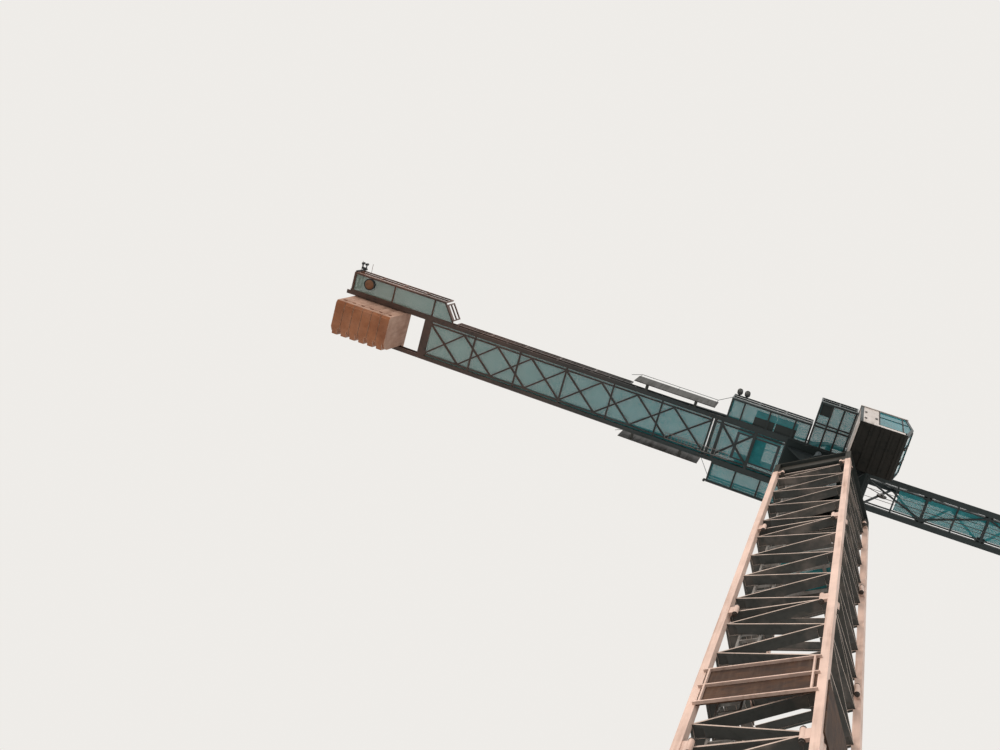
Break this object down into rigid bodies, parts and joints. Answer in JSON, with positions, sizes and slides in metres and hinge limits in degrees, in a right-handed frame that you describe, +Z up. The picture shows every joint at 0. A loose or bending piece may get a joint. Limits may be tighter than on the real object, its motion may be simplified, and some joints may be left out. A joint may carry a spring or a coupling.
{
  "type": "tower crane scale model 1:2",
  "caption": "Flat-top tower crane at half scale: square lattice mast, slewing deck with side cab, counter-jib with hung slabs and a triangular lattice jib.",
  "frame": {"origin": "centre of the mast foot, on the underside of the foot ties", "axes": "+X along the jib, +Z up along the slewing axis"},
  "size_m": [28.1709, 1.9567, 17.9613],
  "materials": {
    "mast_paint": "satin off-white paint",
    "lattice_paint": "satin grey-white paint",
    "adapter_paint": "dark olive paint",
    "zinc": "dull zinc coat",
    "board_wood": "weathered plywood",
    "ring_steel": "oiled steel",
    "deck_paint": "dark grey satin paint",
    "motor_paint": "dark grey paint",
    "cabinet_paint": "grey powder coat",
    "lamp_body": "black housing",
    "cab_dark": "dark underside paint",
    "cab_paint": "off-white paint",
    "cab_glass": "blue-green tinted glass",
    "board_metal": "bare dark sheet",
    "concrete": "cast concrete",
    "rope_steel": "wire rope",
    "hook_paint": "yellow paint"
  },
  "bodies": {
    "mast": {"foot_cross": "mast_paint", "mast_leg_1": "mast_paint", "mast_leg_2": "mast_paint", "mast_leg_3": "mast_paint", "mast_leg_4": "mast_paint", "mast_side_1": "lattice_paint", "mast_side_2": "lattice_paint", "mast_side_3": "lattice_paint", "mast_side_4": "lattice_paint", "mast_ladder": "zinc", "mast_landings": "zinc", "face_board": "board_wood", "face_board_frame": "mast_paint", "mast_adapter": "adapter_paint", "slewing_ring_lower": "ring_steel"},
    "upperworks": {"slewing_ring_upper": "ring_steel", "turntable": "deck_paint", "head_frame": "deck_paint", "slewing_motors": "motor_paint", "deck_girders": "deck_paint", "deck_floor": "deck_paint", "balcony_frames": "deck_paint", "balcony_rails": "zinc", "control_cabinets": "cabinet_paint", "floodlights": "lamp_body", "cab_hangers": "deck_paint", "cab_floor": "cab_dark", "cab_roof": "cab_paint", "cab_posts": "cab_paint", "cab_panels": "cab_paint", "cab_glass": "cab_glass", "counter_girders": "deck_paint", "counter_floor": "deck_paint", "counter_ties": "deck_paint", "counter_rails": "zinc", "side_boards": "board_metal", "end_platform": "deck_paint", "end_platform_rails": "zinc", "ballast_slabs": "concrete", "winch_frame": "motor_paint", "winch_drum": "ring_steel", "wind_gauge": "lamp_body", "jib_bottom_chords": "deck_paint", "jib_top_chord": "deck_paint", "jib_side_left": "deck_paint", "jib_side_right": "deck_paint", "jib_floor": "deck_paint", "jib_tip": "deck_paint", "trolley": "motor_paint", "trolley_wheels": "ring_steel", "hoist_ropes": "rope_steel", "hook_block": "hook_paint"}
  },
  "joints": [
    {"name": "slewing", "type": "hinge", "parent": "mast", "child": "upperworks", "pos_m": [0, 0, 15.6205], "axis": [0, 0, 1], "continuous": true}
  ]
}
